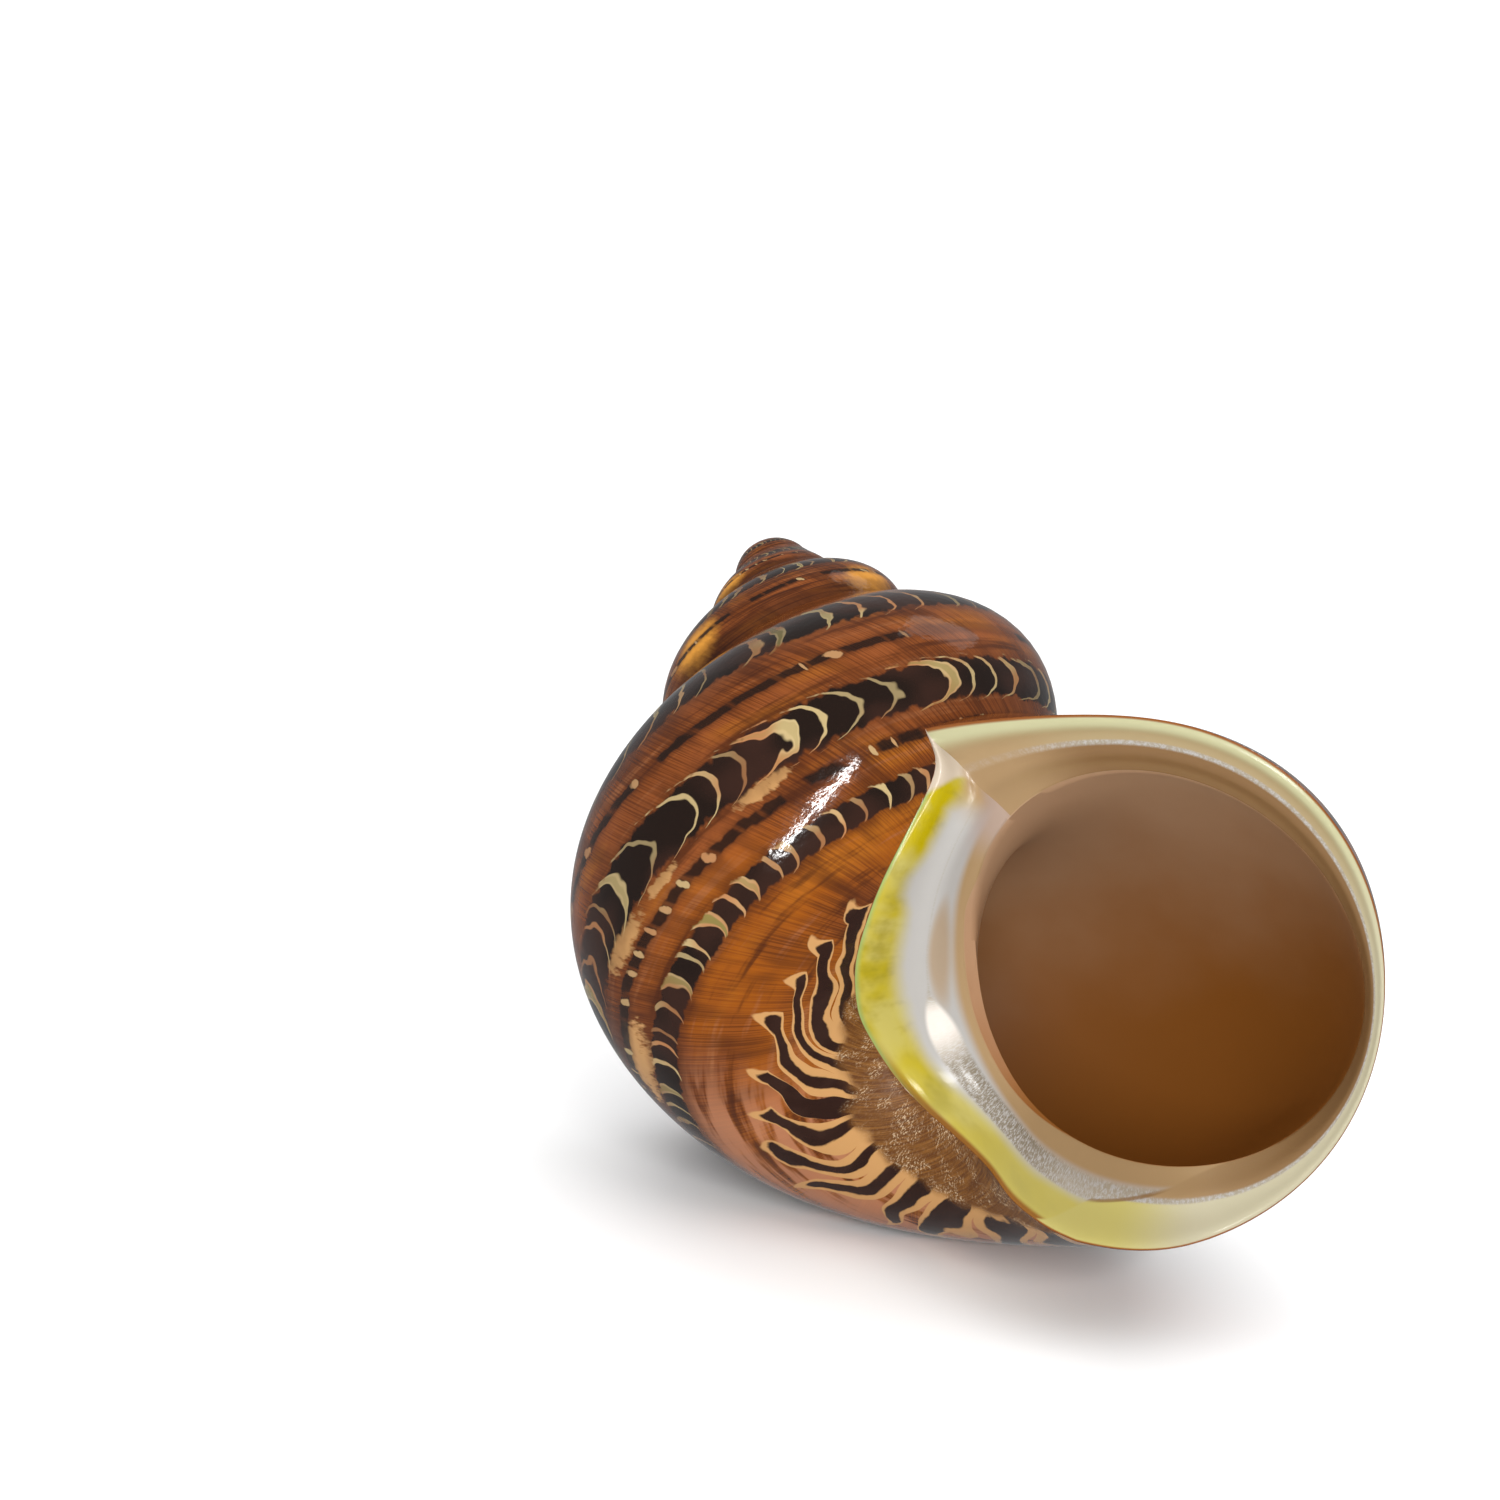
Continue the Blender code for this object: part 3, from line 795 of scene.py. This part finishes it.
# blots in cells along the base, under pale arches: a blot is where off, the distance from its
# cell's middle, is below plump, and an arch ends where angle + depth * off ** 2 reaches the top;
# the cells lean by lean * depth below leanAngle
def flameMarkings(finish, colour, place):
    turn, angle, seed = place["turn"], place["angle"], flames["seed"]
    depth = finish.math("MAXIMUM", flames["leanAngle"] - angle, 0.0)
    leaning = depth * flames["lean"] * finish.ease(turn, *flames["leanTurns"])
    warp = (finish.noise(turn * 16, angle * 3.2, seed, 1.0) - 0.5) * 1.9
    along = (turn - leaning) / flames["spacing"] + warp
    cell = finish.math("FLOOR", along)
    off = finish.math("ABSOLUTE", along - cell - 0.5)
    ragged = (finish.noise(turn * 120, angle * 15, seed + 1, 2.0) - 0.5) * 0.13
    joined = finish.ease(finish.chance(cell, seed + 3), 0.94, 0.95) * finish.ease(angle, -1.2, -1.26)
    plump = finish.chance(cell, seed) * 0.10 + 0.17 + finish.ease(angle, -1.3, -1.5) * 0.03
    plump = plump + joined * 0.3
    arch = off * off * flames["archDepth"] + finish.chance(cell, seed + 2) * 0.07 + ragged * 0.3
    ceiling = (finish.noise(turn * 20, 0.0, seed + 4) - 0.25) * 0.16
    top = flames["top"]
    pale = angle + off * off * flames["archDepth"] + ragged * 0.5
    pale = finish.ease(pale, top + 0.075, top + 0.055)
    pale = pale * finish.ease(angle + arch + off * 0.1, top + ceiling + 0.01, top + ceiling - 0.01)
    blot = finish.ease(off + ragged, plump + 0.03, plump - 0.03)
    blot = blot * finish.ease(angle + arch, top, top - 0.015)
    dusk = finish.noise(turn * 40, angle * 6, seed + 5)
    dark = finish.mix(finish.ease(dusk, 0.4, 0.65), shellColours["blot"], shellColours["chocolate"])
    colour = finish.mix(pale, colour, shellColours["flame"])
    return finish.mix(blot, colour, dark)


# satin ground between the flames and the pad, with painted glints: its colour, its share from 0 to 1, and
# its grain
def satinColour(finish, place):
    turn, angle = place["turn"], place["angle"]
    fibres = finish.noise(turn * satin["fibres"] + angle * 60, angle * 5, 12.0, 3.0, 0.7)
    grains = finish.noise(turn * satin["grains"], angle * 60, 13.0, 2.0, 0.8)
    glint = finish.ease(finish.noise(turn * satin["glints"], angle * 8, 15.0, 2.0), 0.45, 0.62)
    colour = finish.mix(finish.ease(fibres, 0.36, 0.72), shellColours["satin"], shellColours["satinLight"])
    # painted highlight: pale sparkle dots painted into the colour as glints
    sparkle = finish.ease(grains, 0.50, 0.64) * (glint * 0.55 + 0.04)
    colour = finish.mix(sparkle, colour, shellColours["paintedGlint"])
    edge = angle + (finish.noise(turn * 20, angle * 4, 14.0, 2.0) - 0.5) * satin["edgeWave"]
    share = finish.ease(edge, flames["bottom"] + 0.02, flames["bottom"] - 0.05)
    return colour, share, fibres + grains


# the mouth's margin: around runs along the lip from 0 to the notch, then over the pad to 1, and
# share runs across it from outside in
def marginColour(finish, place):
    around, share = place["turn"], place["zone"]
    speckle = finish.noise(around * 800, share * 14, 20.0, 2.0, 0.8)
    patchy = finish.noise(around * 16, share * 2, 21.0, 2.0)
    nacre = finish.mix(finish.ease(speckle, 0.4, 0.65), shellColours["silver"], shellColours["white"])

    # lip: broad at the top, with a darker tan groove on both sides of a speckled seam, partly tan nacre
    # and partly painted groove shade
    upper = finish.ease(around, *marginPlaces["upperLip"])
    nearNotch = finish.ease(around, *marginPlaces["nearNotch"])
    slim = finish.ease(around, *marginPlaces["slimLip"])
    lip = finish.mix(nearNotch, shellColours["paleGreen"], shellColours["yellowPale"])
    lip = finish.mix(upper, lip, shellColours["paleTop"])
    # partly painted shade: the top lip's inner part is tinted darker tan along its groove
    lip = finish.mix(upper * finish.ease(share, 0.12, 0.30) * 0.7, lip, shellColours["bevel"])
    seam = marginBands["lipSeam"] - slim * 0.14
    inner = finish.mix(slim, shellColours["bevel"], shellColours["tanAndGrooveShade"])
    lip = finish.mix(finish.ease(share - seam, -0.05, -0.01), lip, nacre)
    lip = finish.mix(finish.ease(share - seam, 0.02, 0.07), lip, inner)
    lip = finish.mix(finish.ease(share, marginBands["rim"], 0.02), lip, shellColours["rim"])

    # pad: yellow outside, then grey nacre
    base = finish.ease(around, *marginPlaces["base"])
    gap = finish.ease(finish.math("ABSOLUTE", around - marginPlaces["gap"]), 0.06, 0.0)
    shift = finish.math("MAXIMUM", around - marginPlaces["padShift"], 0.0) * 4.5
    yellowEnd = base * 0.10 - gap * 0.10 + shift + (patchy - 0.5) * 0.14 + marginBands["padYellow"]
    faded = finish.ease(patchy, 0.42, 0.66) * 0.7
    yellow = finish.mix(faded, shellColours["yellow"], shellColours["yellowPale"])
    mottled = finish.noise(around * 26, share * 3, 22.0, 3.0, 0.6)
    yellow = finish.mix(finish.ease(mottled, 0.46, 0.72) * 0.6, yellow, shellColours["yellowDark"])
    fading = finish.ease(around, *marginPlaces["fading"]) * 0.8
    yellow = finish.mix(base * 0.75 + gap * 0.4 + fading, yellow, shellColours["yellowPale"])
    yellow = finish.mix(finish.ease(share, 0.07, 0.0) * 0.8, yellow, shellColours["greenEdge"])
    blur = finish.ease(around, *marginPlaces["blur"]) * 0.16
    pad = finish.mix(finish.ease(share - yellowEnd, -0.12 - blur, 0.08), yellow, shellColours["white"])
    pad = finish.mix(finish.ease(share - shift, 0.02, -0.06), pad, shellColours["pink"])
    brown = finish.ease(share, 0.13, 0.06) * finish.ease(around, 0.50, 0.42)
    pad = finish.mix(brown, pad, shellColours["satinLight"])
    tanSpot = ((around - marginPlaces["tanSpot"]) / 0.11) ** 2.0 + ((share - 0.70) / 0.10) ** 2.0
    pad = finish.mix(finish.ease(tanSpot, 1.3, 0.2) * 0.7, pad, shellColours["bevel"])

    # ridge: speckled silver from the notch to where it runs out, with a painted highlight on its middle
    ridgeEnd = marginPlaces["ridgeEnd"]
    taper = finish.ease(around, ridgeEnd, ridgeEnd - marginPlaces["ridgeFade"])
    away = finish.math("ABSOLUTE", share - marginBands["ridge"])
    onRidge = finish.ease(away, taper * 0.14 + 0.02, taper * 0.14 - 0.03)
    fromDull = finish.math("ABSOLUTE", around - marginPlaces["dullRidge"])
    dull = finish.ease(fromDull, 0.08, 0.02) * 0.7
    # painted highlight: a near-white patch painted on the ridge where light would glint
    fromRidgeHighlight = finish.math("ABSOLUTE", around - marginPlaces["ridgeHighlightPlace"])
    ridgeHighlight = finish.ease(fromRidgeHighlight, 0.05, 0.01) * 0.8
    ridge = finish.mix(dull * finish.ease(speckle, 0.62, 0.42), nacre, shellColours["slate"])
    ridge = finish.mix(ridgeHighlight, ridge, shellColours["paintedRidgeHighlight"])
    pad = finish.mix(onRidge, pad, ridge)
    inward = finish.ease(share + base * 0.07, marginBands["bevel"], marginBands["bevel"] + 0.1)
    pad = finish.mix(inward, pad, shellColours["bevel"])
    wedge = finish.ease(around, *marginPlaces["wedge"]) * finish.ease(share - shift * 0.2, 0.24, 0.42)
    pad = finish.mix(wedge, pad, shellColours["bevel"])
    smear = finish.ease(around, *marginPlaces["smear"]) * finish.ease(share, 0.60, 0.80) * 0.7
    pad = finish.mix(smear, pad, shellColours["lilac"])

    # notch: a slanting line where lip and pad meet, with painted shade in the crease in its middle
    notch = around - marginPlaces["notch"] + (share - 0.5) * marginPlaces["notchLean"]
    colour = finish.mix(finish.ease(notch, -0.002, 0.003), lip, pad)
    # painted shade: the crease in the notch is painted darker
    crease = finish.ease(finish.math("ABSOLUTE", notch), 0.004, 0.001) * finish.ease(share, 0.42, 0.5)
    crease = crease * finish.ease(share, 0.76, 0.66)
    colour = finish.mix(crease * 0.8, colour, shellColours["tanAndGrooveShade"])
    corner = finish.ease(around, *marginPlaces["corner"]) * finish.ease(share, 0.1, 0.35)
    return finish.mix(corner * 0.8, colour, shellColours["bevel"]), speckle


# the hollow: rose brown to the upper left, darker and warmer to the lower right, as
# sweep = (x - middle) / reach - (z - middle) / reach + a mottle
def hollowColour(finish):
    spot = finish.add("TexCoord", {}, {}, "Object")
    x = finish.add("SeparateXYZ", {}, {0: spot}, 0)
    z = finish.add("SeparateXYZ", {}, {0: spot}, 2)
    mottle = (finish.noise(x * 150, z * 150, 30.0, 3.0) - 0.5) * 0.7
    (middleX, middleZ), (reachX, reachZ) = hollow["middle"], hollow["reach"]
    sweep = (x - middleX) / reachX - (z - middleZ) / reachZ + mottle
    brown = finish.ease(sweep, *hollow["brown"])
    return finish.mix(brown, shellColours["insideRose"], shellColours["insideBrown"])


polished = Finish("polishedShell", {"Metallic": 0.0, "IOR": 1.35})
place = shellPlace(polished)
wall, fineLines, broadLines = groundColour(polished, place)
for dashRow in dashRows.values():
    wall = dashes(polished, wall, place, dashRow)
for crescentRow in crescentRows.values():
    wall = crescents(polished, wall, place, crescentRow)
wall = flameMarkings(polished, wall, place)
satinPaint, satinShare, satinGrain = satinColour(polished, place)
wall = polished.mix(satinShare, wall, satinPaint)
margin, marginGrain = marginColour(polished, place)

# which area a point is in: the wall, the margin, or the hollow, which begins a little earlier
# along the pad
onMargin = polished.ease(place["zone"], 0.001, 0.012)
deepEdge = polished.ease(place["turn"], 0.33, 0.42) * polished.ease(place["turn"], 0.78, 0.68) * 0.09
inHollow = polished.ease(place["zone"] + deepEdge, 0.985, 1.005)
onWall = 1 - onMargin
colour = polished.mix(onMargin, wall, margin)
colour = polished.mix(inHollow, colour, hollowColour(polished))
marginRoughness = (marginGrain * gloss["marginGrain"] + gloss["margin"]) * (1 - inHollow)
marginRoughness = marginRoughness + inHollow * gloss["hollow"]
roughness = (satinShare * gloss["satin"] + gloss["wall"]) * onWall + marginRoughness * onMargin

dents = polished.noise(place["turn"] * 46, place["angle"] * 7, 50.0, 2.0)
chips = polished.noise(place["turn"] * 170, place["angle"] * 24, 51.0, 2.0)
relief = fineLines * bumps["fineLines"] + broadLines * bumps["broadLines"]
relief = relief + dents * bumps["dents"] + chips * bumps["chips"]
relief = (relief + satinGrain * satinShare * bumps["satin"]) * onWall
relief = relief + marginGrain * onMargin * (1 - inHollow) * bumps["margin"]
bump = polished.add("Bump", {}, {"Strength": 1.0, "Distance": 0.001, "Height": relief})
polished.feed(polished.surface.inputs["Base Color"], colour)
polished.feed(polished.surface.inputs["Roughness"], roughness)
polished.feed(polished.surface.inputs["Normal"], bump)
shellMesh.materials.append(polished.material)
print("shell finish:", len(polished.tree.nodes), "nodes")

studio = {
    "floorSize": 4.0,
    "floorLevel": -0.00005,
    "floorColour": (0.92, 0.92, 0.92, 1.0),
    "floorRoughness": 0.7,
    "skyColour": (0.97, 0.98, 1.0, 1.0),
    "skyStrength": 0.3,
    "cameraPlace": (-0.00289879, -0.32742717, 0.13584208),
    "cameraTurns": (71.88188071, -10.60922782, 5.97785285),
    "lens": 121.82887,
    "sensorWidth": 36.0,
    "nearest": 0.01,
}

# Floor
half = studio["floorSize"] / 2
floorMesh = bpy.data.meshes.new("floor")
corners = [(-half, -half), (half, -half), (half, half), (-half, half)]
floorMesh.from_pydata([(x, y, studio["floorLevel"]) for x, y in corners], [], [(0, 1, 2, 3)])
floor = bpy.data.objects.new("floor", floorMesh)
bpy.context.scene.collection.objects.link(floor)
paper = Finish("palePaper", {"Base Color": studio["floorColour"],
                             "Roughness": studio["floorRoughness"]})
floorMesh.materials.append(paper.material)
floor.visible_glossy = False  # the polished wall shows no glare from it, as in the photograph

# Lights: middle, what it faces, which way its height runs, width and height in metres, radiance,
# and whether the polished surfaces show it
softLights = {
    "backSoftbox": {"place": (-0.10, 0.6, 1.0), "aim": (0, 0.05, 0), "tall": (0, 1, 0),
                    "size": (1.7, 1.2), "radiance": 0.45, "seen": False},
    "ceiling": {"place": (0, 0, 1.5), "aim": (0, 0, 0), "tall": (0, 1, 0),
                "size": (2.2, 2.2), "radiance": 1.86, "seen": False},
    "frontSoftbox": {"place": (-0.4, -1.0, 0.7), "aim": (0, 0, 0), "tall": (0, 0, 1),
                     "size": (1.3, 1.0), "radiance": 1.2, "seen": False},
    "sheenPanel": {"place": (0.22, 0.40, 0.60), "aim": (0, 0, 0.03), "tall": (0, 1, 0),
                   "size": (0.35, 0.25), "radiance": 1.2, "seen": True},
    "stripLight": {"place": (0.10, -0.56, 0.21), "aim": (-0.011, -0.015, 0.032),
                   "tall": (0.244, 0.168, 0.33), "size": (0.020, 0.44), "radiance": 110.0, "seen": True},
}


# the lamp looks along -Z with its height along Y, so Z = away, X = tall x Z and Y = Z x X
def hangLight(name, light):
    lamp = bpy.data.lights.new(name, "AREA")
    lamp.shape = "RECTANGLE"
    lamp.size, lamp.size_y = light["size"]
    lamp.energy = light["radiance"] * math.pi * lamp.size * lamp.size_y
    away = (Vector(light["place"]) - Vector(light["aim"])).normalized()
    side = Vector(light["tall"]).cross(away).normalized()
    turned = Matrix((side, away.cross(side), away)).transposed().to_4x4()
    holder = bpy.data.objects.new(name, lamp)
    holder.matrix_world = Matrix.Translation(light["place"]) @ turned
    holder.visible_glossy = light["seen"]
    bpy.context.scene.collection.objects.link(holder)


for name, light in softLights.items():
    hangLight(name, light)

world = bpy.data.worlds.new("studio")
world.use_nodes = True
world.node_tree.nodes["Background"].inputs["Color"].default_value = studio["skyColour"]
world.node_tree.nodes["Background"].inputs["Strength"].default_value = studio["skyStrength"]
bpy.context.scene.world = world
bpy.context.scene.view_settings.view_transform = "Standard"

# Camera, at the photograph's viewing angle
lensData = bpy.data.cameras.new("camera")
lensData.lens = studio["lens"]
lensData.sensor_width = studio["sensorWidth"]
lensData.clip_start = studio["nearest"]
camera = bpy.data.objects.new("camera", lensData)
camera.location = studio["cameraPlace"]
camera.rotation_euler = [math.radians(a) for a in studio["cameraTurns"]]
bpy.context.scene.collection.objects.link(camera)
bpy.context.scene.camera = camera
print("studio ready")
